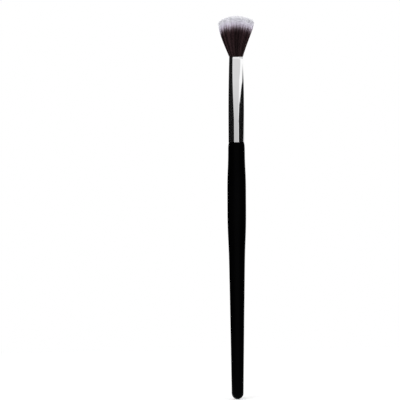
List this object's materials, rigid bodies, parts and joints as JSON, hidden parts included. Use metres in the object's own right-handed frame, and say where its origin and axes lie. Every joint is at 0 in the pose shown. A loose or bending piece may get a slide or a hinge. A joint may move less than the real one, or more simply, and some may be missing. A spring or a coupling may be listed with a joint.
{
  "type": "eyeshadow brush",
  "caption": "Slim eyeshadow brush: tapered black handle, polished ferrule pinched from round to oval, and a flared dark tuft with white tips.",
  "frame": {"origin": "centre of the grip, the straight stretch at the belly of the handle, on the brush's axis", "axes": "+Z along the brush from the butt to the hair, +X across the width of the oval tuft, +Y through its thickness"},
  "size_m": [0.0156, 0.0084, 0.1726],
  "materials": {
    "lacquered_wood": "black satin lacquer over turned wood",
    "plated_metal": "polished plating on drawn metal",
    "adhesive": "cured glue",
    "resin": "cured epoxy",
    "thread": "waxed cotton",
    "hair": "filaments, dark brown with white tips"
  },
  "bodies": {
    "root": {"handle": "lacquered_wood", "tenon_glue": "adhesive", "ferrule": "plated_metal", "knot_resin": "resin", "binding_thread": "thread", "hair_core": "hair", "hair_middle_ring": "hair", "hair_outer_ring": "hair"}
  },
  "joints": []
}
